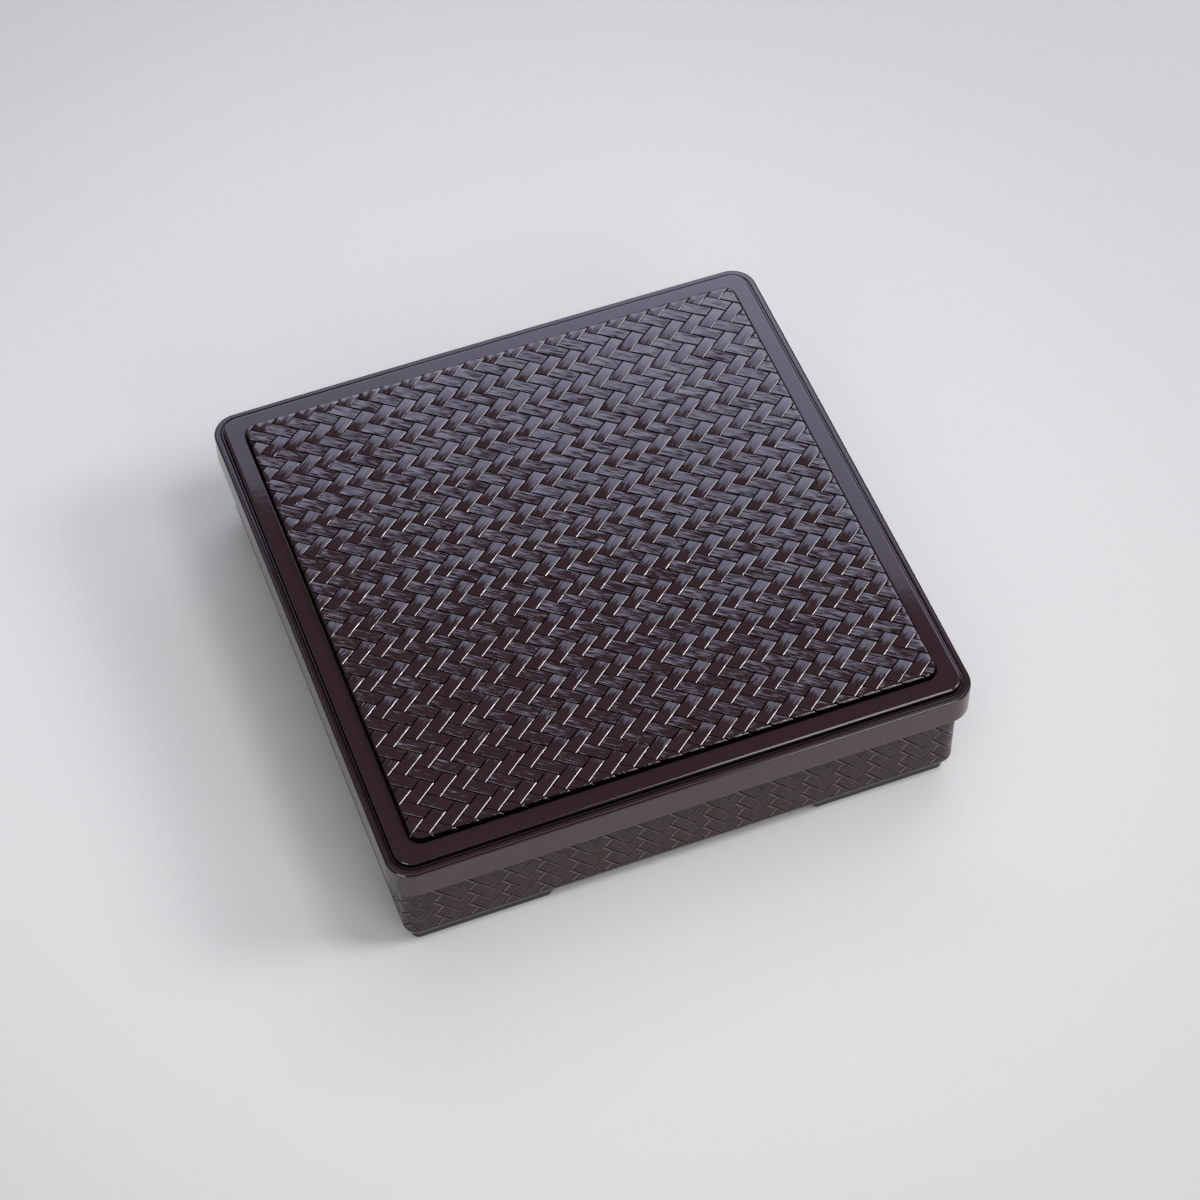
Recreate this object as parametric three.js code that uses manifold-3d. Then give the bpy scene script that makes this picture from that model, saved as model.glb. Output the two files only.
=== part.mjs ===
// Square bento box in lacquered resin: a low box on a cut-out foot ring, an overlapping lid
// with a raised panel, and a cross of two half-lapped boards that parts the inside in four.
// The panel and the box's outer walls carry ajiro, the relief of a two-over-two bamboo twill.
// Millimetres, +Z up. The origin is the middle of the foot ring, on the table.

import * as THREE from 'three';
import { mergeVertices } from 'three/addons/utils/BufferGeometryUtils.js';
import Module from 'manifold-3d';

const wasm = await Module();
wasm.setup();

// Box
const BOX_SIDE = 231.2;
const BOX_CORNER = 6;
const RIM_HEIGHT = 54.2;
const WALL = 3.4;
const FLOOR = 3;
const INNER_CORNER = 5;
const BOTTOM_ROUND = 3;
const FLOOR_ROUND = 3;
const RIM_ROUND = 0.8;
const RIM_BREAK = 0.5;

// Foot ring under the box, open in the middle of each side
const FOOT_HEIGHT = 6.5;
const FOOT_INSET = 3.2;
const FOOT_WALL = 3.4;
const FOOT_CORNER = 3;
const FOOT_OPENING = 114;
const FOOT_SLANT = 5;

// Lid
const LID_CLEARANCE = 1.4;
const SEAT_GAP = 0.3;
const SKIRT_WALL = 3;
const SKIRT_DEPTH = 15.1;
const LID_PLATE = 2.9;
const LID_EDGE_ROUND = 1;
const SKIRT_EDGE_ROUND = 0.8;
const LEDGE_WIDTH = 4;
const BORDER_RISE = 2.1;
const BORDER_CORNER = 7;
const PANEL_RISE = 2.5;
const PANEL_CORNER = 5;
const STACK_CLEARANCE = 0.8;
const STEP_ROUND = 0.6;
const STEP_COVE = 0.5;
const CEILING_ROUND = 1;

// Cross of two boards
const BOARD_THICK = 3;
const BOARD_HEIGHT = 40;
const BOARD_CLEARANCE = 0.6;
const BOARD_FLOOR_GAP = 0.3;
const BOARD_EDGE_ROUND = 0.6;
const BOARD_LOW_CORNER = 3.4;
const BOARD_TOP_CORNER = 2;
const HALF_LAP_CLEARANCE = 0.25;

// Ajiro weave: lengths of one repeat along and across its rows
const LID_REPEAT_ALONG = 9.14;
const LID_REPEAT_ACROSS = 13.92;
const LID_WEAVE_X = 4.3;
const LID_WEAVE_Y = 8;
const WALL_REPEAT_UP = 8.58;
const WALL_REPEAT_ROUND = 13.84;
const WALL_WEAVE_MARGIN = 0.62;
const WEAVE_DEPTH = 0.65;
const WEAVE_SKIN = 0.1;
const FLOAT_BEVEL = 0.13;

// Fineness of the curves
const CORNER_STEPS = 5;
const BOARD_CORNER_STEPS = 3;
const ROUND_STEPS = 2;

// Sizes that follow from the ones above
const OVERCUT = 1;
const boxHalf = BOX_SIDE / 2;
const cavityHalf = boxHalf - WALL;
const floorTop = FOOT_HEIGHT + FLOOR;
const footHalf = boxHalf - FOOT_INSET;
const footInnerHalf = footHalf - FOOT_WALL;
const skirtInnerHalf = boxHalf + LID_CLEARANCE;
const lidHalf = skirtInnerHalf + SKIRT_WALL;
const lidCorner = BOX_CORNER + LID_CLEARANCE + SKIRT_WALL;
const ceiling = RIM_HEIGHT + SEAT_GAP;
const ledgeTop = ceiling + LID_PLATE;
const skirtBottom = ledgeTop - SKIRT_DEPTH;
const borderTop = ledgeTop + BORDER_RISE;
const borderHalf = lidHalf - LEDGE_WIDTH;
const panelTop = borderTop + PANEL_RISE;
const panelHalf = footInnerHalf - STACK_CLEARANCE;
const boardLength = 2 * (cavityHalf - BOARD_CLEARANCE);
const lapDepth = BOARD_HEIGHT / 2 + HALF_LAP_CLEARANCE;
const wallWeaveBase = FOOT_HEIGHT + BOTTOM_ROUND + WALL_WEAVE_MARGIN;

// Materials
const tameLacquer = new THREE.MeshStandardMaterial({ color: 0x3a2228, roughness: 0.12, metalness: 0 });
const boxLacquer = new THREE.MeshStandardMaterial({ color: 0x3a2228, roughness: 0.16, metalness: 0 });
const blackLacquer = new THREE.MeshStandardMaterial({ color: 0x17181a, roughness: 0.3, metalness: 0 });

// Solids and booleans

function solidFrom(points, triangles) {
  return new wasm.Manifold(new wasm.Mesh({
    numProp: 3,
    vertProperties: new Float32Array(points.flatMap((p) => [p.x, p.y, p.z])),
    triVerts: new Uint32Array(triangles.flat()),
  }));
}

function solidOf(geometry) {
  geometry.deleteAttribute('normal');
  geometry.deleteAttribute('uv');
  const merged = mergeVertices(geometry);
  return new wasm.Manifold(new wasm.Mesh({
    numProp: 3,
    vertProperties: new Float32Array(merged.attributes.position.array),
    triVerts: new Uint32Array(merged.index.array),
  }));
}

function meshOf(name, solid, material) {
  const { vertProperties, triVerts } = solid.getMesh();
  const geometry = new THREE.BufferGeometry();
  geometry.setAttribute('position', new THREE.BufferAttribute(new Float32Array(vertProperties), 3));
  geometry.setIndex(new THREE.BufferAttribute(new Uint32Array(triVerts), 1));
  const faceted = geometry.toNonIndexed();
  faceted.computeVertexNormals();
  const mesh = new THREE.Mesh(faceted, material);
  mesh.name = name;
  return mesh;
}

// Lofts of rounded squares

// One section of a loft: a square of this half width with round corners, at height z.
function section(half, corner, z) {
  return { half, corner: Math.max(corner, 0.1), z };
}

function sectionLoop({ half, corner, z }) {
  const loop = [];
  for (let quarter = 0; quarter < 4; quarter += 1) {
    const start = (quarter * Math.PI) / 2;
    const centre = start + Math.PI / 4;
    const reach = (half - corner) * Math.SQRT2;
    for (let step = 0; step <= CORNER_STEPS; step += 1) {
      const turn = start + (step / CORNER_STEPS) * (Math.PI / 2);
      loop.push(new THREE.Vector3(
        reach * Math.cos(centre) + corner * Math.cos(turn),
        reach * Math.sin(centre) + corner * Math.sin(turn),
        z,
      ));
    }
  }
  return loop;
}

// Skins the sections from the lowest to the highest and closes both ends.
function loft(sections) {
  const loops = sections.map(sectionLoop);
  const count = loops[0].length;
  const points = loops.flat();
  const triangles = [];
  for (let level = 0; level + 1 < loops.length; level += 1) {
    for (let k = 0; k < count; k += 1) {
      const next = (k + 1) % count;
      const a = level * count + k;
      const b = level * count + next;
      triangles.push([a, b, b + count], [a, b + count, a + count]);
    }
  }
  const last = points.length - count;
  for (let k = 1; k + 1 < count; k += 1) {
    triangles.push([0, k + 1, k], [last, last + k, last + k + 1]);
  }
  return solidFrom(points, triangles);
}

// A quarter round between two sections of one outline. It starts at angle `from` on a circle
// round (half, z), so 0 faces outwards and 90 degrees up, and the corners stay concentric.
function quarterRound(half, corner, z, radius, from, to) {
  const sections = [];
  for (let step = 0; step <= ROUND_STEPS; step += 1) {
    const turn = THREE.MathUtils.degToRad(from + ((to - from) * step) / ROUND_STEPS);
    const out = radius * Math.cos(turn);
    sections.push(section(half + out, corner + out, z + radius * Math.sin(turn)));
  }
  return sections;
}

// Convex edge where an upright wall turns in to a level top.
function topEdge(half, corner, top, radius) {
  return quarterRound(half - radius, corner - radius, top - radius, radius, 0, 90);
}

// Convex edge where a level underside turns up to a wall.
function bottomEdge(half, corner, bottom, radius) {
  return quarterRound(half - radius, corner - radius, bottom + radius, radius, -90, 0);
}

// Hollow where a level face turns up to a wall that stands on it.
function cove(half, corner, base, radius) {
  return quarterRound(half + radius, corner + radius, base + radius, radius, 270, 180);
}

// Ajiro weave

// The weave's nodes are counted across its rows (m) and along them (k). A float is the stretch
// of a strip that lies over two crossings, and its point (p, q) is p crossings along the strip
// and q across it. Each corner is p, q and a depth: six nodes of the groove net, then a ridge.
const FLOAT_CORNERS = [
  [0, 0, WEAVE_DEPTH],
  [1, 0, WEAVE_DEPTH],
  [2, 0, WEAVE_DEPTH],
  [0, 1, WEAVE_DEPTH],
  [1, 1, WEAVE_DEPTH],
  [2, 1, WEAVE_DEPTH],
  [1, FLOAT_BEVEL, WEAVE_SKIN],
  [1, 1 - FLOAT_BEVEL, WEAVE_SKIN],
];

const FLOAT_FACETS = [
  [0, 1, 6], [1, 2, 6], [3, 7, 4], [4, 7, 5],
  [0, 6, 7], [0, 7, 3], [2, 5, 7], [2, 7, 6],
];

// One repeat is 4 nodes across the rows and 2 along them, and a float spans 3 nodes along.
const NODES_ACROSS = 4;
const NODES_ALONG = 2;
const FLOAT_SPAN = 3;

// Floats of one family lean one way and start where m is 0 of 4, those of the other lean the
// other way and start where m is 3 of 4.
function floatStarts(mRange, kRange) {
  const starts = [];
  for (let m = mRange[0]; m < mRange[1]; m += 1) {
    const phase = THREE.MathUtils.euclideanModulo(m, NODES_ACROSS);
    if (phase !== 0 && phase !== 3) continue;
    for (let k = kRange[0]; k < kRange[1]; k += 1) {
      if ((m + k) % NODES_ALONG === 0) starts.push({ m, k, lean: phase === 0 ? 1 : -1 });
    }
  }
  return starts;
}

// The woven face and a twin of it outside the piece, closed into one cutter. `place` takes m, k
// and a height over the face to a point, and m comes round after `mWrap` nodes.
function weaveCutter(starts, place, mWrap = Infinity) {
  const nodes = new Map();
  const nodeAt = (m, k, depth) => {
    const mRound = Number.isFinite(mWrap) ? THREE.MathUtils.euclideanModulo(m, mWrap) : m;
    const key = `${mRound.toFixed(3)}:${k.toFixed(3)}`;
    if (!nodes.has(key)) nodes.set(key, { index: nodes.size, m: mRound, k, depth });
    return nodes.get(key).index;
  };
  const face = [];
  for (const { m, k, lean } of starts) {
    const corners = FLOAT_CORNERS.map(([p, q, depth]) => nodeAt(m + lean * (p - q), k + p + q, depth));
    for (const [a, b, c] of FLOAT_FACETS) {
      const facet = [corners[a], corners[b], corners[c]];
      face.push(lean > 0 ? facet : facet.reverse());
    }
  }
  const spots = [...nodes.values()];
  const woven = spots.map(({ m, k, depth }) => place(m, k, -depth));
  const outside = spots.map(({ m, k }) => place(m, k, OVERCUT));
  return solidFrom([...woven, ...outside], closedTwin(face, spots.length));
}

// Joins an open face to its twin, whose vertices follow after `count`, along every free edge.
function closedTwin(face, count) {
  const edges = new Set(face.flatMap(([a, b, c]) => [`${a},${b}`, `${b},${c}`, `${c},${a}`]));
  const triangles = [];
  for (const [a, b, c] of face) {
    triangles.push([a, b, c], [a + count, c + count, b + count]);
    for (const [from, to] of [[a, b], [b, c], [c, a]]) {
      if (edges.has(`${to},${from}`)) continue;
      triangles.push([to, from, from + count], [to, from + count, to + count]);
    }
  }
  return triangles;
}

// Weave over the lid's panel. Its rows run along X.
function panelWeave() {
  const along = LID_REPEAT_ALONG / NODES_ALONG;
  const across = LID_REPEAT_ACROSS / NODES_ACROSS;
  const reach = panelHalf + LID_REPEAT_ACROSS;
  const mReach = Math.ceil(reach / across);
  const kReach = Math.ceil(reach / along);
  const face = panelTop + WEAVE_SKIN;
  return weaveCutter(
    floatStarts([-mReach, mReach], [-kReach, kReach]),
    (m, k, height) => new THREE.Vector3(LID_WEAVE_X + k * along, LID_WEAVE_Y + m * across, face + height),
  );
}

// Point at a distance round the box from the middle of its front, clockwise from above, and
// `out` from the wall's face.
function aroundBox(distance, z, out) {
  const straight = 2 * (boxHalf - BOX_CORNER);
  const arc = (Math.PI / 2) * BOX_CORNER;
  const side = straight + arc;
  const run = THREE.MathUtils.euclideanModulo(distance + straight / 2, 4 * side);
  const quarter = Math.floor(run / side);
  const along = run - quarter * side;
  const turn = Math.max(0, along - straight) / BOX_CORNER;
  const local = new THREE.Vector3(
    straight / 2 - Math.min(along, straight) - (BOX_CORNER + out) * Math.sin(turn),
    -(boxHalf - BOX_CORNER) - (BOX_CORNER + out) * Math.cos(turn),
    z,
  );
  return local.applyAxisAngle(new THREE.Vector3(0, 0, 1), (-quarter * Math.PI) / 2);
}

// Weave round the box's walls, with its rows upright. Whole repeats close the ring, and whole
// repeats rise to a level end behind the lid's skirt.
function wallWeave() {
  const perimeter = 8 * (boxHalf - BOX_CORNER) + 2 * Math.PI * BOX_CORNER;
  const repeats = Math.round(perimeter / WALL_REPEAT_ROUND);
  const nodesRound = NODES_ACROSS * repeats;
  const round = perimeter / nodesRound;
  const up = WALL_REPEAT_UP / NODES_ALONG;
  const rise = NODES_ALONG * Math.ceil((skirtBottom - wallWeaveBase) / WALL_REPEAT_UP);
  const sleeve = weaveCutter(
    floatStarts([0, nodesRound], [-FLOAT_SPAN, rise]),
    (m, k, height) => aroundBox(m * round, wallWeaveBase + k * up, height),
    nodesRound,
  );
  const reach = boxHalf + 2 * OVERCUT;
  const band = loft([
    section(reach, BOX_CORNER, wallWeaveBase),
    section(reach, BOX_CORNER, wallWeaveBase + rise * up),
  ]);
  return sleeve.intersect(band);
}

// Parts

// Foot ring with a slant-ended opening in the middle of each side.
function footRing() {
  const top = FOOT_HEIGHT + FLOOR / 2;
  const ring = loft([section(footHalf, FOOT_CORNER, 0), section(footHalf, FOOT_CORNER, top)])
    .subtract(loft([
      section(footInnerHalf, FOOT_CORNER, -OVERCUT),
      section(footInnerHalf, FOOT_CORNER, top + OVERCUT),
    ]));
  const half = FOOT_OPENING / 2;
  const slope = FOOT_SLANT / FOOT_HEIGHT;
  const opening = new THREE.Shape([
    new THREE.Vector2(-half - slope * OVERCUT, -OVERCUT),
    new THREE.Vector2(half + slope * OVERCUT, -OVERCUT),
    new THREE.Vector2(half - slope * (top + OVERCUT), top + OVERCUT),
    new THREE.Vector2(-half + slope * (top + OVERCUT), top + OVERCUT),
  ]);
  const across = new THREE.ExtrudeGeometry(opening, { depth: BOX_SIDE, bevelEnabled: false })
    .translate(0, 0, -BOX_SIDE / 2)
    .rotateX(Math.PI / 2);
  const along = across.clone().rotateZ(Math.PI / 2);
  return ring.subtract(solidOf(across)).subtract(solidOf(along));
}

function boxBody() {
  const outside = loft([
    ...bottomEdge(boxHalf, BOX_CORNER, FOOT_HEIGHT, BOTTOM_ROUND),
    ...topEdge(boxHalf, BOX_CORNER, RIM_HEIGHT, RIM_ROUND),
  ]);
  const inside = loft([
    ...bottomEdge(cavityHalf, INNER_CORNER, floorTop, FLOOR_ROUND),
    section(cavityHalf, INNER_CORNER, RIM_HEIGHT - RIM_BREAK),
    section(cavityHalf + RIM_BREAK, INNER_CORNER + RIM_BREAK, RIM_HEIGHT),
    section(cavityHalf + RIM_BREAK, INNER_CORNER + RIM_BREAK, RIM_HEIGHT + OVERCUT),
  ]);
  const solid = outside.add(footRing()).subtract(inside).subtract(wallWeave());
  return meshOf('box_body', solid, boxLacquer);
}

function lid() {
  const outside = loft([
    ...bottomEdge(lidHalf, lidCorner, skirtBottom, SKIRT_EDGE_ROUND),
    ...topEdge(lidHalf, lidCorner, ledgeTop, LID_EDGE_ROUND),
    ...cove(borderHalf, BORDER_CORNER, ledgeTop, STEP_COVE),
    ...topEdge(borderHalf, BORDER_CORNER, borderTop, STEP_ROUND),
    ...cove(panelHalf, PANEL_CORNER, borderTop, STEP_COVE),
    section(panelHalf, PANEL_CORNER, panelTop + WEAVE_SKIN),
  ]);
  const innerCorner = lidCorner - SKIRT_WALL;
  const recessTop = panelTop - LID_PLATE;
  const inside = loft([
    section(skirtInnerHalf, innerCorner, skirtBottom - OVERCUT),
    ...topEdge(skirtInnerHalf, innerCorner, ceiling, CEILING_ROUND),
    section(panelHalf, PANEL_CORNER, ceiling),
    ...topEdge(panelHalf, PANEL_CORNER, recessTop, CEILING_ROUND),
  ]);
  return meshOf('lid', outside.subtract(inside).subtract(panelWeave()), tameLacquer);
}

// Board of the cross, standing on the line Y = 0, with a slot for its fellow at mid-length
// that opens at the top or at the bottom.
function board(name, slotAtTop) {
  const half = boardLength / 2;
  const slot = BOARD_THICK / 2 + HALF_LAP_CLEARANCE;
  const low = { x: half - BOARD_LOW_CORNER, y: BOARD_LOW_CORNER };
  const top = { x: half - BOARD_TOP_CORNER, y: BOARD_HEIGHT - BOARD_TOP_CORNER };
  const outline = new THREE.Shape();
  outline.moveTo(-low.x, 0);
  if (!slotAtTop) {
    outline.lineTo(-slot, 0);
    outline.lineTo(-slot, lapDepth);
    outline.lineTo(slot, lapDepth);
    outline.lineTo(slot, 0);
  }
  outline.absarc(low.x, low.y, BOARD_LOW_CORNER, -Math.PI / 2, 0);
  outline.absarc(top.x, top.y, BOARD_TOP_CORNER, 0, Math.PI / 2);
  if (slotAtTop) {
    outline.lineTo(slot, BOARD_HEIGHT);
    outline.lineTo(slot, BOARD_HEIGHT - lapDepth);
    outline.lineTo(-slot, BOARD_HEIGHT - lapDepth);
    outline.lineTo(-slot, BOARD_HEIGHT);
  }
  outline.absarc(-top.x, top.y, BOARD_TOP_CORNER, Math.PI / 2, Math.PI);
  outline.absarc(-low.x, low.y, BOARD_LOW_CORNER, Math.PI, 1.5 * Math.PI);
  const geometry = new THREE.ExtrudeGeometry(outline, {
    depth: BOARD_THICK - 2 * BOARD_EDGE_ROUND,
    bevelThickness: BOARD_EDGE_ROUND,
    bevelSize: BOARD_EDGE_ROUND,
    bevelOffset: -BOARD_EDGE_ROUND,
    bevelSegments: ROUND_STEPS,
    curveSegments: BOARD_CORNER_STEPS,
  });
  geometry.translate(0, 0, -(BOARD_THICK / 2 - BOARD_EDGE_ROUND)).rotateX(Math.PI / 2);
  return meshOf(name, solidOf(geometry), blackLacquer);
}

function dividingCross() {
  const cross = new THREE.Group();
  const longDivider = board('long_divider', true);
  const crossDivider = board('cross_divider', false);
  crossDivider.rotation.z = Math.PI / 2;
  cross.add(longDivider, crossDivider);
  cross.position.z = floorTop + BOARD_FLOOR_GAP;
  return cross;
}

const bentoBox = new THREE.Group();
bentoBox.name = 'bento_box';
bentoBox.add(boxBody(), dividingCross(), lid());

export default bentoBox;
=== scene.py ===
import math
from collections import namedtuple
from functools import partial

import bmesh
import bpy
import numpy as np
from bpy.props import FloatProperty, FloatVectorProperty, IntProperty, PointerProperty
from mathutils import Matrix, Vector


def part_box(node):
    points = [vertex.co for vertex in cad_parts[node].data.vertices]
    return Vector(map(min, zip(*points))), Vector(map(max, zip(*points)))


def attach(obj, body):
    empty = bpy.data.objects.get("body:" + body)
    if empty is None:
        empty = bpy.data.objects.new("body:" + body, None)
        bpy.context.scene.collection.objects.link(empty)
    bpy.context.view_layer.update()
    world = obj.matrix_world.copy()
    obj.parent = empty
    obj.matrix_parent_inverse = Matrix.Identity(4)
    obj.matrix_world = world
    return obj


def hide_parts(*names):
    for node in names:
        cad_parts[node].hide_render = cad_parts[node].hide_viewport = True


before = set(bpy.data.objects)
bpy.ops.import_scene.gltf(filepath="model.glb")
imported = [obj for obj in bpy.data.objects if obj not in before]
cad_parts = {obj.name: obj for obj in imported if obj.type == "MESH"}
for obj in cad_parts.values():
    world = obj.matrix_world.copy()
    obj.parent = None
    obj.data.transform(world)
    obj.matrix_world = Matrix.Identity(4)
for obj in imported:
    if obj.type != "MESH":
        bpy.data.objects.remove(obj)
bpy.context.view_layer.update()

bl_info = {
    "name": "Lacquered Bento Box",
    "version": (1, 0, 0),
    "blender": (4, 5, 0),
    "location": "View3D > Sidebar > Bento Box",
    "description": "Dresses a square bento box with ajiro relief in tame-nuri lacquer",
    "category": "Object",
}

MM = 0.001

# Steps round a corner, round an edge and along a side
CORNER_STEPS = 14
ROUND_STEPS = 6
SIDE_STEPS = 26
# Sections across the ledge and across the bead
LEDGE_SECTIONS = 9
BEAD_SECTIONS = 5
# Cuts round a cropped corner and across the panel's rounded edge
CORNER_CUTS = 8
PANEL_CUTS = 3
# How near a cutting plane a point counts as on it
ON_PLANE = 1e-7

# Distance of the close points beside a bend, which keep its shading crisp
SUPPORT = 0.3 * MM
# How far a piece reaches into the one that carries it
OVERLAP = 0.3 * MM
SMALLEST_CORNER = 0.05 * MM
SMOOTH_ANGLE = math.radians(40)
WEAVE_SMOOTH_ANGLE = math.radians(24)

LID_LOW, LID_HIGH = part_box("lid")
BOX_LOW, BOX_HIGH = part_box("box_body")


def linear(hex_colour):
    """sRGB hex to a linear colour with alpha."""
    parts = [int(hex_colour[i:i + 2], 16) / 255 for i in (0, 2, 4)]
    bright = [c / 12.92 if c <= 0.04045 else ((c + 0.055) / 1.055) ** 2.4 for c in parts]
    return (*bright, 1.0)


def length(name, millimetres):
    """A size in metres, given here in millimetres."""
    return FloatProperty(name=name, default=millimetres * MM, unit="LENGTH", subtype="DISTANCE")


def colour(name, hex_colour):
    """A linear colour, given here as sRGB hex."""
    return FloatVectorProperty(name=name, default=linear(hex_colour), size=4, subtype="COLOR", min=0, max=1)


def angle(name, degrees):
    """An angle, given here in degrees."""
    return FloatProperty(name=name, default=math.radians(degrees), subtype="ANGLE")


class LidSizes(bpy.types.PropertyGroup):
    """Sizes of the lid's smooth parts."""

    corner: length("Radius of the skirt's corners, outside", 10.4)
    skirt_wall: length("Thickness of the skirt", 3.0)
    skirt_depth: length("Height of the skirt's outer face", 15.1)
    skirt_round: length("Radius of the skirt's lower edges", 0.9)
    edge_round: length("Radius of the lid's outer top edge", 1.2)
    ledge: length("Width of the narrow ledge round the border", 4.0)
    ledge_crown: length("Rise of the ledge's middle over its sides", 0.015)
    border_rise: length("Height of the smooth border over the ledge", 2.1)
    border_corner: length("Radius of the border's corners", 7.0)
    border_round: length("Radius of the border's outer edge", 0.85)
    lip: length("Radius of the border's inner edge", 0.2)
    panel_inset: length("From the border's edge to the woven panel", 7.8)
    panel_corner: length("Radius of the panel's corners", 5.0)
    gutter: length("Width of the groove at the foot of each step", 0.45)
    gutter_depth: length("Depth of the groove at the foot of each step", 0.7)
    bead: length("Width of the bead between the two grooves", 0.65)
    bead_crown: length("Rise of the bead's middle over its sides", 0.03)
    line: length("Width of the groove beside the ledge", 0.4)
    line_depth: length("Depth of the groove beside the ledge", 0.45)
    panel_round: length("Width of the panel's rounded edge", 1.0)
    panel_fall: length("Fall of the weave over the panel's rounded edge", 0.9)
    plate: length("Thickness of the lid's plate", 2.9)
    ceiling_round: length("Radius of the edges of the lid's underside", 1.0)
    droop: length("Drop of the corners below the sides' middles", 0.65)


class BoxSizes(bpy.types.PropertyGroup):
    """Sizes of the box and its foot ring."""

    corner: length("Radius of the walls' corners, outside", 6.0)
    wall: length("Thickness of the walls", 3.4)
    floor: length("Thickness of the floor", 3.0)
    inner_corner: length("Radius of the corners inside", 5.0)
    low_round: length("Radius of the edge under the walls", 3.0)
    rim_round: length("Radius of the rim's edges", 0.8)
    foot_height: length("Height of the foot ring", 6.5)
    foot_inset: length("From the wall's face to the foot ring", 3.2)
    foot_wall: length("Thickness of the foot ring", 3.4)
    foot_corner: length("Radius of the foot ring's corners", 3.0)
    foot_round: length("Radius of the foot ring's lower edges", 0.4)
    foot_opening: length("Width of each opening, at the table", 114.0)
    foot_slant: length("How far each end of an opening leans in", 5.0)


class WeaveSizes(bpy.types.PropertyGroup):
    """Sizes of the ajiro relief."""

    lid_along: length("One repeat along the rows on the lid", 9.14)
    lid_across: length("One repeat across the rows on the lid", 13.92)
    lid_x: length("X of a node of the weave on the lid", 4.3)
    lid_y: length("Y of a node of the weave on the lid", 8.0)
    wall_up: length("One repeat up the wall", 8.58)
    wall_round: length("One repeat round the box, before it is closed up", 13.84)
    wall_base: length("Height of the weave's lowest nodes on the wall", 10.12)
    wall_low: length("Height where the wall's weave is cropped", 9.5)
    lid_depth: length("Depth of the grooves between the strips on the lid", 0.58)
    wall_depth: length("Depth of the grooves between the strips on the walls", 0.36)
    lid_arch: length("Drop of a float's ends on the lid", 0.14)
    wall_arch: length("Drop of a float's ends on the walls", 0.1)
    lid_bevel: length("Drop of a float's bevel on the lid", 0.15)
    wall_bevel: length("Drop of a float's bevel on the walls", 0.28)
    uneven: length("Lean of single floats, at their ends", 0.045)
    seed: IntProperty(name="Seed of the lid's floats", default=7)
    wall_seed: IntProperty(name="Seed of the walls' floats", default=57)


class Finishes(bpy.types.PropertyGroup):
    """Colours of the finishes."""

    tame: colour("Wine brown lacquer, seen straight on", "2d1e22")
    thin: colour("Wine brown lacquer run thin, on upright faces", "351a20")
    # Lighter brown painted as a highlight on the strips' lit bevels and as a sheen on their tilted fibres,
    # on the lid and on the walls
    worn: colour("Thin lacquer on the edges of the lid's strips", "4d3a3d")
    rubbed: colour("Thin lacquer on the edges of the walls' strips", "69605e")
    # Painted shade: black in the grooves between the strips, on the lid and on the walls
    lid_groove: colour("Pooled lacquer between the lid's strips", "050303")
    wall_groove: colour("Pooled lacquer between the walls' strips", "080506")
    # Painted shade: black in the lid's fine grooves, on the border's upright face and along its outer edge,
    # in a darker and a paler mottle
    pooled: colour("Pooled lacquer in fine grooves, where deepest", "040303")
    shallow: colour("Pooled lacquer in fine grooves, where shallow", "0a0707")
    black: colour("Black lacquer of the inside and the foot", "111213")
    table: colour("Pale grey table", "d6d7d8")


class StudioSettings(bpy.types.PropertyGroup):
    """The camera."""

    lens: FloatProperty(name="Focal length in mm on a 36 mm sensor", default=100.98)
    azimuth: angle("Side from which the camera looks", -19.8225)
    elevation: angle("Height of the camera over the level", 53.4164)
    roll: angle("Turn of the camera about its own axis", -1.0838)
    place: FloatVectorProperty(
        name="Where the camera stands", default=(-0.27094, -0.77232, 1.1277), subtype="XYZ", unit="LENGTH"
    )


class BentoSettings(bpy.types.PropertyGroup):
    """Everything that can be set on the bento box."""

    lid: PointerProperty(type=LidSizes)
    box: PointerProperty(type=BoxSizes)
    weave: PointerProperty(type=WeaveSizes)
    finishes: PointerProperty(type=Finishes)
    studio: PointerProperty(type=StudioSettings)


# Rounded squares and lofts through them

Square = namedtuple("Square", "half corner")
Section = namedtuple("Section", "half corner z bow", defaults=(0.0,))


def grown(square, by):
    """The rounded square grown on every side, or shrunk where by is negative."""
    return Square(square.half + by, square.corner + by)


def beyond(spot, square):
    """How far a spot lies outside an upright rounded square."""
    centre = square.half - square.corner
    return Vector((max(0, abs(spot.x) - centre), max(0, abs(spot.y) - centre))).length - square.corner


def fall(spot, droop, reach):
    """How far the lid's crown lowers a spot, where reach is half the lid's side."""
    return droop * (spot.x * spot.y / reach**2) ** 2


def outline(square):
    """Points of a rounded square, counter-clockwise, with close points beside each corner."""
    corner = max(square.corner, SMALLEST_CORNER)
    centre = square.half - corner
    nearest = SUPPORT / (2 * centre)
    quarter = [
        Vector((centre, centre)) + corner * Vector((math.cos(a), math.sin(a)))
        for a in np.linspace(0, math.pi / 2, CORNER_STEPS + 1)
    ]
    following = Vector((-centre, square.half))
    steps = [nearest, *(np.arange(1, SIDE_STEPS) / SIDE_STEPS), 1 - nearest]
    quarter += [quarter[-1].lerp(following, step) for step in steps]
    return [Matrix.Rotation(k * math.pi / 2, 2) @ p for k in range(4) for p in quarter]


def rounding(square, z, radius, start, end, bow=0.0):
    """Sections along an arc about the square's edge at the height z, from the angle start to
    end, where 90 is up."""
    return [
        Section(*grown(square, radius * math.cos(a)), z + radius * math.sin(a), bow)
        for a in np.radians(np.linspace(start, end, ROUND_STEPS + 1))
    ]


def crowned(outer, inner, top, crown, count):
    """Sections of a low arch between two rounded squares, with its middle at the height top."""
    sections = []
    for share in np.linspace(0, 1, count).tolist():
        square = (a + (b - a) * share for a, b in zip(outer, inner))
        sections.append(Section(*square, top - crown * (2 * share - 1) ** 2, 1.0))
    return sections


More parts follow.
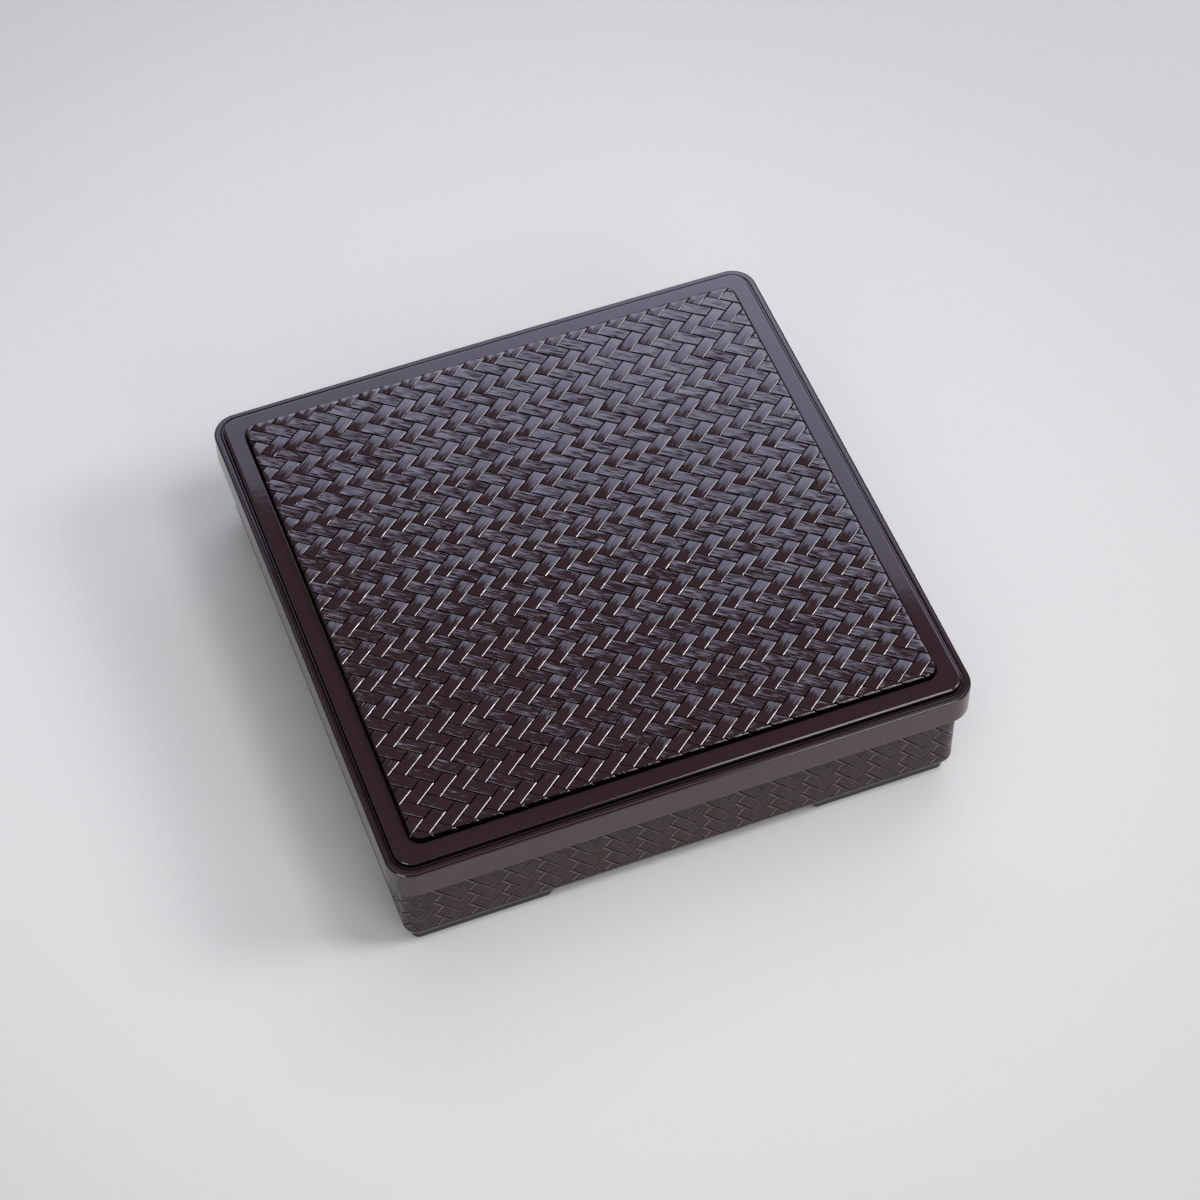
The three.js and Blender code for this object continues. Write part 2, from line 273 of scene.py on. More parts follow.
def supported(sections):
    """The sections, with close ones added at both ends of each long flat stretch."""
    full = [sections[0]]
    for low, high in zip(sections, sections[1:]):
        gap = math.hypot(high.half - low.half, high.z - low.z)
        if gap > 4 * SUPPORT:
            near = SUPPORT / gap
            for share in (near, 1 - near):
                full.append(Section(*(a + (b - a) * share for a, b in zip(low, high))))
        full.append(high)
    return full


def bridge(work, lower, upper):
    """Faces between two loops of as many vertices."""
    for k in range(len(lower)):
        n = (k + 1) % len(lower)
        work.faces.new((lower[k], lower[n], upper[n], upper[k]))


def loft(sections, droop=0.0, reach=1.0, ring=False):
    """A mesh through the sections in turn, closed by the first and the last or, as a ring, by
    going back to the first. The corners of each section drop by its bow times droop."""
    work = bmesh.new()
    loops = [
        [
            work.verts.new((p.x, p.y, section.z - section.bow * fall(p, droop, reach)))
            for p in outline(section)
        ]
        for section in supported(sections)
    ]
    for lower, upper in zip(loops, loops[1:]):
        bridge(work, lower, upper)
    if ring:
        bridge(work, loops[-1], loops[0])
    else:
        work.faces.new(loops[0])
        work.faces.new(loops[-1])
    bmesh.ops.recalc_face_normals(work, faces=work.faces)
    return work


def new_object(name, data):
    """An object in the scene that holds this data."""
    made = bpy.data.objects.new(name, data)
    bpy.context.scene.collection.objects.link(made)
    return made


def piece(name, work, *finishes, smooth_angle=SMOOTH_ANGLE):
    """An object from a bmesh with these finishes, smooth apart from its sharp edges."""
    mesh = bpy.data.meshes.new(name)
    work.to_mesh(mesh)
    work.free()
    mesh.shade_smooth()
    mesh.set_sharp_from_angle(angle=smooth_angle)
    for make in finishes:
        mesh.materials.append(finish(make))
    return new_object(name, mesh)


def baked(carrier):
    """The carrier's evaluated mesh as a bmesh. The carrier is removed."""
    graph = bpy.context.evaluated_depsgraph_get()
    mesh = bpy.data.meshes.new_from_object(carrier.evaluated_get(graph), depsgraph=graph)
    bpy.data.objects.remove(carrier)
    work = bmesh.new()
    work.from_mesh(mesh)
    return work


def extruded_rim(work):
    """Extrudes the open edges on the spot. Returns the new vertices and the new open edges."""
    rim = [e for e in work.edges if e.is_boundary]
    made = bmesh.ops.extrude_edge_only(work, edges=rim)["geom"]
    verts = [g for g in made if isinstance(g, bmesh.types.BMVert)]
    edges = [g for g in made if isinstance(g, bmesh.types.BMEdge) and g.is_boundary]
    return verts, edges


# Nodes

def add_node(tree, kind, sockets=None, **settings):
    """Adds a node with its settings. The kind of a shader node comes without its prefix. Each
    socket gets a value or a link, from a socket or from a node's first output."""
    made = tree.nodes.new(kind if "Node" in kind else "ShaderNode" + kind)
    for name, value in settings.items():
        setattr(made, name, value)
    for name, value in (sockets or {}).items():
        if isinstance(value, bpy.types.Node):
            value = value.outputs[0]
        if isinstance(value, bpy.types.NodeSocket):
            tree.links.new(value, made.inputs[name])
        else:
            made.inputs[name].default_value = value
    return made


def empty_tree(data):
    """Clears the nodes of a material, a light or a world. Gives the function that adds one."""
    data.use_nodes = True
    data.node_tree.nodes.clear()
    return partial(add_node, data.node_tree)


def per_metre(millimetres):
    """The scale of a noise whose features lie this far apart."""
    return 1 / (millimetres * MM)


# Finishes

def finish(make):
    """The material whose shader make gives, named like it and made only the first time."""
    scene = bpy.context.scene
    key = "finish_" + make.__name__
    if key not in scene:
        material = bpy.data.materials.new(make.__name__)
        add = empty_tree(material)
        add("OutputMaterial", {"Surface": make(add, scene.bento.finishes)})
        scene[key] = material.name
    return bpy.data.materials[scene[key]]


def tame_nuri_lacquer(add, finishes):
    """Tame-nuri: clear brown lacquer over a dark ground on moulded resin, polished. The eye gets
    a deep wine brown under a mirror gloss, redder on the upright faces where the coat has run
    thin, with a slight cloudiness, a faint swell and fine dust nibs."""
    full_until, thin_from = 0.8 * MM, 2.2 * MM
    place = add("TexCoord").outputs["Object"]
    # How far apart the clouds, the swell and the nibs lie in mm, and their detail
    cloud, swell, nibs = (
        add("TexNoise", {"Vector": place, "Scale": per_metre(size), "Detail": detail})
        for size, detail in ((71.43, 3), (3.846, 2), (0.6667, 1))
    )
    height = add("SeparateXYZ", {0: place}).outputs["Z"]
    ledge = LID_LOW.z + bpy.context.scene.bento.lid.skirt_depth
    upright = add(
        "MapRange", {"Value": height, "From Min": ledge - full_until, "From Max": ledge - thin_from}
    )
    brown = add("Mix", {0: upright, 6: finishes.tame, 7: finishes.thin}, data_type="RGBA").outputs[2]
    cloudy = add("MapRange", {"Value": cloud, "To Min": 0.88, "To Max": 1.1})
    shade = add("HueSaturation", {"Color": brown, "Value": cloudy})
    coat = add("Bump", {"Height": swell, "Strength": 0.5, "Distance": 0.012 * MM})
    coat = add("Bump", {"Height": nibs, "Strength": 0.5, "Distance": 0.002 * MM, "Normal": coat})
    return add("BsdfPrincipled", {"Base Color": shade, "Roughness": 0.05, "IOR": 1.54, "Normal": coat})


def tame_nuri_lacquer_on_ajiro(add, finishes):
    """The same lacquer over moulded bamboo strips. The eye gets fibre streaks along each strip
    where the light's edge falls on it. Black is painted in the grooves as painted shade, and a
    lighter brown on one bevel of each strip as a painted highlight of its lit edge."""
    return woven_lacquer(
        add, finishes.tame, finishes.worn, finishes.lid_groove,
        grain=1.0, streaks=0.1, rough=0.045, gloss=0.62,
    )


def tame_nuri_lacquer_on_wall_ajiro(add, finishes):
    """The same lacquer on the walls. The eye gets pale strip edges that are a painted highlight,
    coarser fibres with a stronger painted sheen, black painted shade in the grooves, and less gloss."""
    return woven_lacquer(
        add, finishes.tame, finishes.rubbed, finishes.wall_groove,
        grain=1.9, streaks=0.22, rough=0.2, gloss=0.16,
    )


def woven_lacquer(add, tame, worn, groove, grain, streaks, rough, gloss):
    """The lacquer on a relief. The grain scales the fibres' tilt, and streaks is how much lighter
    the fibres that tilt one way are painted, a painted sheen. In the grooves the colour turns to
    the painted black of shade and the gloss falls to nothing, which paints shade too. The level is
    0 in a groove, 1 on a strip and 2 on the bevel whose lighter colour is a painted highlight."""
    strip = add("Attribute", attribute_name="strip").outputs["Vector"]
    level = add("Attribute", attribute_name="level").outputs["Fac"]
    # A normal map's colour where nothing tilts
    neutral = 0.5
    # 1 out of the grooves and 0 in them, where black shade is painted; and 1 on a strip's lit bevel, where
    # a lighter highlight is painted
    outside_groove_shade, edge = (
        add("MapRange", {"Value": level, "From Min": low, "From Max": high})
        for low, high in ((0.8, 1.0), (1.2, 1.7))
    )
    # Fibre bundles and broad waves: how long and how wide they are in mm, their detail and tilt
    tilt = 0.0
    for long, wide, detail, gain in ((4.762, 0.3846, 1, 0.15), (11.11, 1.4286, 0, 0.04)):
        place = add("Mapping", {"Vector": strip, "Scale": (per_metre(long), per_metre(wide), 1)})
        fibre = add("TexNoise", {"Vector": place, "Scale": 1, "Detail": detail})
        fibre = add("Math", {0: fibre, 1: 0.5}, operation="SUBTRACT")
        tilt = add("Math", {0: fibre, 1: gain * grain, 2: tilt}, operation="MULTIPLY_ADD")
    smooth = add("Math", {0: 1.0, 1: edge}, operation="SUBTRACT")
    tilt = add("Math", {0: tilt, 1: smooth, 2: neutral}, operation="MULTIPLY_ADD")
    slope = add("CombineColor", {"Red": neutral, "Green": tilt, "Blue": 1})
    fibres = add("NormalMap", {"Color": slope}, uv_map="strip_map")
    # The fibres that tilt one way are painted lighter, a painted sheen
    painted_streak_sheen = add(
        "MapRange",
        {"Value": tilt, "From Min": neutral + 0.008 * grain, "From Max": neutral + 0.025 * grain,
         "To Max": streaks},
    )
    # Painted sheen and painted highlight first, then the grooves' painted black shade, whose gloss falls to
    # nothing
    shade = tame
    for share in (painted_streak_sheen, edge):
        shade = add("Mix", {0: share, 6: shade, 7: worn}, data_type="RGBA").outputs[2]
    shade = add("Mix", {0: outside_groove_shade, 6: groove, 7: shade}, data_type="RGBA").outputs[2]
    shine = add("MapRange", {"Value": outside_groove_shade, "To Max": gloss})
    return add(
        "BsdfPrincipled",
        {"Base Color": shade, "Roughness": rough, "IOR": 1.54, "Specular IOR Level": shine,
         "Normal": fibres},
    )


def pooled_lacquer(add, finishes):
    """Dull near-black lacquer with a faint mottle, painted as shade in the fine grooves, on the border's
    upright face and along the lid's outer edge. The eye gets a black line.
    """
    place = add("TexCoord").outputs["Object"]
    run = add("TexNoise", {"Vector": place, "Scale": per_metre(8.333), "Detail": 2})
    shade = add("Mix", {0: run, 6: finishes.pooled, 7: finishes.shallow}, data_type="RGBA").outputs[2]
    return add(
        "BsdfPrincipled", {"Base Color": shade, "Roughness": 0.5, "IOR": 1.5, "Specular IOR Level": 0.08}
    )


def black_lacquer(add, finishes):
    """Black urethane lacquer as it leaves the spray gun, unpolished. The eye gets a soft gloss
    with a fine orange peel."""
    place = add("TexCoord").outputs["Object"]
    # How far apart the peel's dimples and the duller patches lie in mm, and their detail
    peel, cloud = (
        add("TexNoise", {"Vector": place, "Scale": per_metre(size), "Detail": detail})
        for size, detail in ((1.111, 2), (33.33, 3))
    )
    rough = add("MapRange", {"Value": cloud, "To Min": 0.2, "To Max": 0.3})
    bump = add("Bump", {"Height": peel, "Strength": 0.4, "Distance": 0.01 * MM})
    return add(
        "BsdfPrincipled", {"Base Color": finishes.black, "Roughness": rough, "IOR": 1.52, "Normal": bump}
    )


# Ajiro weave

# A float's cross-section, as places across the strip, shares of the bevel's drop and levels,
# and the level of the float's far end. Level 0 takes black painted shade, and a level over 1 a
# lighter painted highlight, on a bevel and on the walls' far ends
LID_PROFILE = (((0.08, 0, 1), (0.5, 0, 1), (0.935, 0, 1), (0.975, 1, 2)), 1)
WALL_PROFILE = (((0.08, 0, 1), (0.5, 0, 1), (0.915, 0, 1), (0.95, 0.5, 2), (0.985, 1, 0)), 1.7)
# Places along a float, which is 2 nodes long
FLOAT_STATIONS = (0.04, 0.3, 0.65, 1.0, 1.35, 1.7, 1.96)

# What chance sets for each float, in the order of its seeds
CHANCES = ("lean_along", "lean_across", "lift", "grain")
# Length of strip over which a lean reaches its full height
LEAN_SPAN = 6 * MM
# A float's lift, as a share of its lean
LIFT_SHARE = 0.3
# How far apart two floats may lie in the fibres' noise
GRAIN_REACH = 50.0


def zip_rings(work, outer, inner):
    """Triangles between two rings of (angle, vertex), each in order of its angle from 0 to 1."""
    outer, inner = ([*ring, (1.0, ring[0][1])] for ring in (outer, inner))
    while len(outer) + len(inner) > 2:
        corners = (outer[0][1], inner[0][1])
        turn = len(inner) == 1 or (len(outer) > 1 and outer[1][0] <= inner[1][0])
        passed = outer if turn else inner
        work.faces.new((corners[0], passed[1][1], corners[1]))
        passed.pop(0)


def make_float(weave, profile, depth, arch, bevel):
    """One float over two crossings, in node units along X and Y and metres along Z: a low arch
    with the profile's bevel, whose foot lies in the groove. Its vertices know their place on
    the strip and their level."""
    across, end_level = profile
    along = FLOAT_STATIONS
    work = bmesh.new()
    strip = work.verts.layers.float_vector.new("strip")
    level = work.verts.layers.float.new("level")
    crossing = math.hypot(weave.lid_along / 2, weave.lid_across / 4)

    def corner(p, q, z, high):
        v = work.verts.new((p + q, p - q, z))
        v[strip] = (p * crossing, q * crossing, 0)
        v[level] = high
        return v

    grid = []
    for p in along:
        flat = end_level if p == along[-1] else 1
        grid.append([
            corner(p, q, -arch * (p - 1) ** 2 - bevel * share, flat if high == 1 else high)
            for q, share, high in across
        ])
    for near, far in zip(grid, grid[1:]):
        for k in range(len(across) - 1):
            work.faces.new((near[k], near[k + 1], far[k + 1], far[k]))

    # The foot's corners are its points 0, 4, 6 and 10 of 12
    foot = [(p / 2, 0) for p in range(5)] + [(2, q / 2) for q in range(1, 3)]
    foot += [(p / 2, 1) for p in range(3, -1, -1)] + [(0, 0.5)]
    steps = len(foot)
    outer = [(k / steps, corner(p, q, -depth, 0.0)) for k, (p, q) in enumerate(foot)]
    side, end = 4 / steps, 2 / steps
    last, width = len(along) - 1, len(across)
    inner = [(side * along[i] / 2, grid[i][0]) for i in range(last + 1)]
    inner += [(side + end * across[k][0], grid[-1][k]) for k in range(1, width)]
    inner += [(6 / steps + side * (1 - along[i] / 2), grid[i][-1]) for i in range(last - 1, -1, -1)]
    inner += [(10 / steps + end * (1 - across[k][0]), grid[0][k]) for k in range(width - 2, 0, -1)]
    zip_rings(work, outer, inner)
    for face in work.faces:
        face.normal_update()
        if face.normal.z < 0:
            face.normal_flip()
    return piece("float", work)


def weave_tree(round_path):
    """Geometry nodes that lay two families of floats, one the mirror image of the other, on a
    net of repeats. With round_path the cloth is then bent round a closed curve."""
    tree = bpy.data.node_groups.new("ajiro_round_path" if round_path else "ajiro", "GeometryNodeTree")
    add = partial(add_node, tree)
    sockets = {
        "Float": "Object", "Node Along": "Float", "Node Across": "Float", "Columns": "Int", "Rows": "Int",
        "Start": "Vector", "Unevenness": "Float", "Seed": "Int",
    }
    if round_path:
        sockets |= {"Path": "Object", "Path Length": "Float"}
    for name, kind in sockets.items():
        tree.interface.new_socket(name, in_out="INPUT", socket_type="NodeSocket" + kind)
    tree.interface.new_socket("Geometry", in_out="OUTPUT", socket_type="NodeSocketGeometry")
    given = add("NodeGroupInput").outputs

    # The net of repeats, each 2 nodes along and 4 across, and the net of the mirror images
    node = add("CombineXYZ", {"X": given["Node Along"], "Y": given["Node Across"], "Z": 1.0})
    up, aside, shift = (
        add("VectorMath", {0: node, 1: nodes}, operation="MULTIPLY")
        for nodes in ((0, 4, 0), (2, 0, 0), (1, 3, 0))
    )
    column = add(
        "GeometryNodeMeshLine", {"Count": given["Rows"], "Start Location": given["Start"], "Offset": up}
    )
    row = add("GeometryNodeMeshLine", {"Count": given["Columns"], "Offset": aside})
    net = add("GeometryNodeInstanceOnPoints", {"Points": column, "Instance": row})
    net = add("GeometryNodeRealizeInstances", {"Geometry": net})
    shifted = add("GeometryNodeTransform", {"Geometry": net, "Translation": shift})

    # A float of each family on every point, with its chances
    tile = add("GeometryNodeObjectInfo", {"Object": given["Float"]}).outputs["Geometry"]
    mirrored = add("GeometryNodeTransform", {"Geometry": tile, "Scale": (1, -1, 1)})
    mirrored = add("GeometryNodeFlipFaces", {"Mesh": mirrored})
    families = add("GeometryNodeJoinGeometry")
    for family, (shape, points) in enumerate(((tile, net), (mirrored, shifted))):
        laid = add("GeometryNodeInstanceOnPoints", {"Points": points, "Instance": shape, "Scale": node})
        for k, name in enumerate(CHANCES):
            seed = add("Math", {0: given["Seed"], 1: float(2 * k + family)}, operation="ADD")
            chance = add(
                "FunctionNodeRandomValue", {"Seed": seed, 2: -1.0, 3: 1.0}, data_type="FLOAT"
            ).outputs[1]
            laid = add(
                "GeometryNodeStoreNamedAttribute", {"Geometry": laid, "Name": name, "Value": chance},
                data_type="FLOAT", domain="INSTANCE",
            )
        tree.links.new(laid.outputs[0], families.inputs[0])
    cloth = add("GeometryNodeRealizeInstances", {"Geometry": families})

    # Each float leans and lifts a little, and its grain comes from its own place in the noise
    kinds = {**dict.fromkeys(CHANCES, "FLOAT"), "level": "FLOAT", "strip": "FLOAT_VECTOR"}
    named = {
        name: add("GeometryNodeInputNamedAttribute", {"Name": name}, data_type=kind)
        for name, kind in kinds.items()
    }
    spot = add("SeparateXYZ", {0: named["strip"]}).outputs
    sway = add("Math", {0: named["lift"], 1: LIFT_SHARE}, operation="MULTIPLY")
    for name, axis, centre in (("lean_along", "X", 1.0), ("lean_across", "Y", 0.5)):
        way = add("Math", {0: spot[axis], 1: 1 / LEAN_SPAN, 2: -centre}, operation="MULTIPLY_ADD")
        sway = add("Math", {0: way, 1: named[name], 2: sway}, operation="MULTIPLY_ADD")
    high = add("Math", {0: named["level"], 1: 1.0}, operation="MINIMUM")
    for factor in (high, given["Unevenness"]):
        sway = add("Math", {0: sway, 1: factor}, operation="MULTIPLY")
    lift = add("CombineXYZ", {"Z": sway})
    cloth = add("GeometryNodeSetPosition", {"Geometry": cloth, "Offset": lift})
    far = add("Math", {0: named["grain"], 1: GRAIN_REACH}, operation="MULTIPLY")
    fibres = add("CombineXYZ", {"X": spot["X"], "Y": spot["Y"], "Z": far})
    for name, kind, domain in (("strip", "FLOAT_VECTOR", "POINT"), ("strip_map", "FLOAT2", "CORNER")):
        cloth = add(
            "GeometryNodeStoreNamedAttribute", {"Geometry": cloth, "Name": name, "Value": fibres},
            data_type=kind, domain=domain,
        )
    if round_path:
        cloth = bend_round(add, cloth, given)
    for name in CHANCES:
        cloth = add("GeometryNodeRemoveAttribute", {"Geometry": cloth, "Name": name})
    add("NodeGroupOutput", {"Geometry": cloth})
    return tree


def bend_round(add, cloth, given):
    """Adds the nodes that take a point's X up, its Y along the path and its Z out from it."""
    path = add("GeometryNodeObjectInfo", {"Object": given["Path"]}).outputs["Geometry"]
    place = add("GeometryNodeInputPosition")
    flat = add("SeparateXYZ", {0: place}).outputs
    run = add("Math", {0: flat["Y"], 1: given["Path Length"]}, operation="FLOORED_MODULO")
    spot = add(
        "GeometryNodeSampleCurve", {"Curves": path, "Length": run}, mode="LENGTH", use_all_curves=True
    ).outputs
    out = add("VectorMath", {0: (0, 0, 1), 1: spot["Tangent"]}, operation="CROSS_PRODUCT")
    out = add("VectorMath", {0: out}, operation="NORMALIZE")
    out = add("VectorMath", {0: out, "Scale": flat["Z"]}, operation="SCALE")
    up = add("CombineXYZ", {"Z": flat["X"]})
    there = spot["Position"]
    for way in (out, up):
        there = add("VectorMath", {0: there, 1: way}, operation="ADD")
    return add("GeometryNodeSetPosition", {"Geometry": cloth, "Position": there})


def woven_cloth(tree, values, merge):
    """Runs the weave's tree with these inputs. Gives a bmesh, with points nearer than merge
    made one."""
    carrier = new_object("weave_carrier", bpy.data.meshes.new("weave_carrier"))
    modifier = carrier.modifiers.new("weave", "NODES")
    modifier.node_group = tree
    for item in tree.interface.items_tree:
        if item.in_out == "INPUT":
            modifier[item.identifier] = values[item.name]
    work = baked(carrier)
    bpy.data.objects.remove(values["Float"])
    bmesh.ops.remove_doubles(work, verts=work.verts, dist=merge)
    return work


def crop(work, spot, outward, clear=True):
    """Cuts along a plane. With clear, what lies beyond it goes."""
    everything = work.verts[:] + work.edges[:] + work.faces[:]
    bmesh.ops.bisect_plane(
        work, geom=everything, dist=ON_PLANE, plane_co=spot, plane_no=outward, clear_outer=clear
    )


def crop_square(work, square, clear):
    """Cuts along the upright faces of a rounded square."""
    centre = square.half - square.corner
    for quarter in range(4):
        spin = Matrix.Rotation(quarter * math.pi / 2, 3, "Z")
        crop(work, spin @ Vector((square.half, 0, 0)), spin @ Vector((1, 0, 0)), clear)
        middle = spin @ Vector((centre, centre, 0))
        for step in range(1, CORNER_CUTS):
            turn = (quarter + step / CORNER_CUTS) * math.pi / 2
            out = Vector((math.cos(turn), math.sin(turn), 0))
            crop(work, middle + out * square.corner, out, clear)


# Lid

# The outer edge's arc ends at this angle. Its middle lies lower and the ledge begins further in
# than its radius by these shares
EDGE_TURN = 66
EDGE_SINK = 0.9
EDGE_START = 0.62
# The black line of painted shade along the outer edge, in shares of the edge's radius
EDGE_LINE = (-0.55, -0.41)
# How far the walls of the ledge's groove and of the border's groove lean
LINE_SLANT = 0.1 * MM
GUTTER_SLANT = 0.05 * MM
# How far the border's plate runs in under the panel
UNDER_PANEL = 2 * MM
# How far the level falls at the foot of the panel's rounded edge, which paints a black line of shade there
EDGE_PAINTED_SHADE = 0.4


def lid_squares(sizes):
    """The outer edges of the lid, of its border and of its panel."""
    outer = Square(LID_HIGH.x, sizes.corner)
    border = Square(outer.half - sizes.ledge, sizes.border_corner)
    panel = Square(border.half - sizes.panel_inset, sizes.panel_corner)
    return outer, border, panel


class BENTO_OT_lid_shell(bpy.types.Operator):
    """Makes the lid's smooth parts: skirt, ledge, border and underside"""

    bl_idname = "bento.lid_shell"
    bl_label = "Lid Shell"

    def execute(self, context):
        sizes = context.scene.bento.lid
        outer, border, panel = lid_squares(sizes)
        inner = grown(outer, -sizes.skirt_wall)
        low = LID_LOW.z
        top = low + sizes.skirt_depth
        rise = top + sizes.border_rise
        ceiling = top - sizes.plate
        recess = LID_HIGH.z - sizes.plate
        gutter, deep, lip = sizes.gutter, sizes.gutter_depth, sizes.lip
        bead = gutter + sizes.bead
        line = bead + sizes.line
        skirt_r, edge_r, border_r = sizes.skirt_round, sizes.edge_round, sizes.border_round
        ceiling_r = sizes.ceiling_round
        arc_z = top - sizes.ledge_crown - EDGE_SINK * edge_r
        sections = [
            *rounding(grown(panel, -ceiling_r), recess - ceiling_r, ceiling_r, 90, 0),
            Section(*panel, ceiling),
            *rounding(grown(inner, -ceiling_r), ceiling - ceiling_r, ceiling_r, 90, 0),
            *rounding(grown(inner, skirt_r), low + skirt_r, skirt_r, 180, 270),
            *rounding(grown(outer, -skirt_r), low + skirt_r, skirt_r, -90, 0),
            *rounding(grown(outer, -edge_r), arc_z, edge_r, 0, EDGE_TURN, 1.0),
            *crowned(
                grown(outer, -EDGE_START * edge_r), grown(border, line + LINE_SLANT),
                top, sizes.ledge_crown, LEDGE_SECTIONS,
            ),
            Section(*grown(border, line), top - sizes.line_depth, 1.0),
            Section(*grown(border, bead), top - sizes.line_depth, 1.0),
            *crowned(
                grown(border, bead - GUTTER_SLANT), grown(border, gutter + GUTTER_SLANT),
                top, sizes.bead_crown, BEAD_SECTIONS,
            ),
            Section(*grown(border, gutter), top - deep, 1.0),
            Section(*border, top - deep, 1.0),
            *rounding(grown(border, -border_r), rise - border_r, border_r, 0, 90, 1.0),
            *rounding(grown(panel, gutter + lip), rise - lip, lip, 90, 180, 1.0),
            Section(*grown(panel, gutter), rise - deep, 1.0),
            Section(*grown(panel, -UNDER_PANEL), rise - deep, 1.0),
        ]
        work = loft(sections, sizes.droop, outer.half)

        # Black lines of painted shade, along the outer edge, on the border's upright face and in the
        # grooves, each from and to a distance outside a square, and below a height. The slack lets a
        # line take in its groove's sides and leave out the face above them
        slack, over_ledge, under_rise = 0.15 * MM, 0.2 * MM, 0.5 * MM
        lines = (
            (outer, EDGE_LINE[0] * edge_r, EDGE_LINE[1] * edge_r, top + over_ledge),
            (border, 0, 0, rise - under_rise),
            (border, 0, gutter, top),
            (border, bead, line, top),
            (panel, 0, gutter, rise),
        )
        for face in work.faces:
            middle = face.calc_center_median()
            height = middle.z + fall(middle, sizes.droop, outer.half)
            pooled = any(
                top - 2 * deep < height < below - slack
                and start - slack < beyond(middle, square) < end + slack
                for square, start, end, below in lines
            )
            under = middle.z < ceiling + OVERLAP or face.normal.z < -0.5
            inside = max(abs(middle.x), abs(middle.y)) < inner.half + skirt_r
            face.material_index = 2 if pooled else int(under and inside)
        shell = piece("lid_shell", work, tame_nuri_lacquer, black_lacquer, pooled_lacquer)
        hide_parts("lid")
        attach(shell, "lid")
        return {"FINISHED"}


class BENTO_OT_lid_weave(bpy.types.Operator):
    """Makes the woven panel on the lid"""

    bl_idname = "bento.lid_weave"
    bl_label = "Lid Weave"

    def execute(self, context):
        settings = context.scene.bento
        lid, weave = settings.lid, settings.weave
        outer, _, panel = lid_squares(lid)
        rise = LID_LOW.z + lid.skirt_depth + lid.border_rise
        reach = panel.half + 2 * weave.lid_across
        start = [
            node - math.ceil((node + reach) / repeat) * repeat
            for node, repeat in ((weave.lid_x, weave.lid_along), (weave.lid_y, weave.lid_across))
        ]
        work = woven_cloth(weave_tree(round_path=False), {
            "Float": make_float(weave, LID_PROFILE, weave.lid_depth, weave.lid_arch, weave.lid_bevel),
            "Node Along": weave.lid_along / 2,
            "Node Across": weave.lid_across / 4,
            "Columns": math.ceil(2 * reach / weave.lid_along) + 1,
            "Rows": math.ceil(2 * reach / weave.lid_across) + 1,
            "Start": (*start, LID_HIGH.z - weave.uneven),
            "Unevenness": weave.uneven,
            "Seed": weave.seed,
        }, merge=0.001 * MM)
        crop_square(work, panel, True)
        for cut in range(PANEL_CUTS, 0, -1):
            crop_square(work, grown(panel, -lid.panel_round * (cut / PANEL_CUTS)), False)
        level = work.verts.layers.float["level"]
        for v in work.verts:
            edge = max(0, beyond(v.co, panel) / lid.panel_round + 1)
            v.co.z -= fall(v.co, lid.droop, outer.half) + lid.panel_fall * edge**2
            # The level's fall paints black shade at the foot of the panel's edge
            v[level] *= 1 - EDGE_PAINTED_SHADE * edge**2
        foot, open_edges = extruded_rim(work)
        # The panel's upright sides take level 0, black painted shade
        for v in foot:
            v[level] = 0
            v.co.z = rise - lid.gutter_depth - OVERLAP - fall(v.co, lid.droop, outer.half)
        bmesh.ops.holes_fill(work, edges=open_edges, sides=0)
        bmesh.ops.recalc_face_normals(work, faces=work.faces)
        woven = piece(
            "lid_weave", work, tame_nuri_lacquer_on_ajiro, smooth_angle=WEAVE_SMOOTH_ANGLE
        )
        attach(woven, "lid")
        return {"FINISHED"}


# Box

class BENTO_OT_box_shell(bpy.types.Operator):
    """Makes the box: floor, walls, rim and foot ring"""

    bl_idname = "bento.box_shell"
    bl_label = "Box Shell"

    def execute(self, context):
        settings = context.scene.bento
        sizes, weave = settings.box, settings.weave
        outer = Square(BOX_HIGH.x, sizes.corner)
        cavity = Square(outer.half - sizes.wall, sizes.inner_corner)
        behind = grown(outer, -weave.wall_depth - 2 * weave.uneven)
        low, rim, top = sizes.foot_height, BOX_HIGH.z, wall_weave_top(weave)
        r, edge = sizes.low_round, sizes.rim_round
        shell = piece("box_core", loft([
            *rounding(grown(outer, -r), low + r, r, -90, 0),
            Section(*behind, weave.wall_low),
            Section(*behind, top),
            Section(*outer, top),
            *rounding(grown(outer, -edge), rim - edge, edge, 0, 90),
            *rounding(grown(cavity, edge), rim - edge, edge, 90, 180),
            *rounding(grown(cavity, -r), low + sizes.floor + r, r, 0, -90),
        ]))
        ring = foot_ring(sizes, outer.half, low)
        add_boolean(shell, ring, "UNION")
        work = baked(shell)
        bpy.data.objects.remove(ring)
        bmesh.ops.dissolve_degenerate(work, dist=0.001 * MM, edges=work.edges)
        # Outside, the rounded edge under the weave is black like the foot: partly the black underside,
        # partly painted shade for the dark that edge shows over the shadowed table
        for face in work.faces:
            middle = face.calc_center_median()
            outside = max(abs(middle.x), abs(middle.y)) > cavity.half + edge
            face.material_index = 0 if outside and middle.z > weave.wall_low - OVERLAP else 1
        made = piece("box_shell", work, tame_nuri_lacquer, black_lacquer)
        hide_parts("box_body")
        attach(made, "box")
        return {"FINISHED"}


def wall_weave_top(weave):
    """Height of the level upper end of the walls' weave, behind the skirt."""
    repeats = math.ceil((LID_LOW.z - weave.wall_base) / weave.wall_up)
    return weave.wall_base + repeats * weave.wall_up


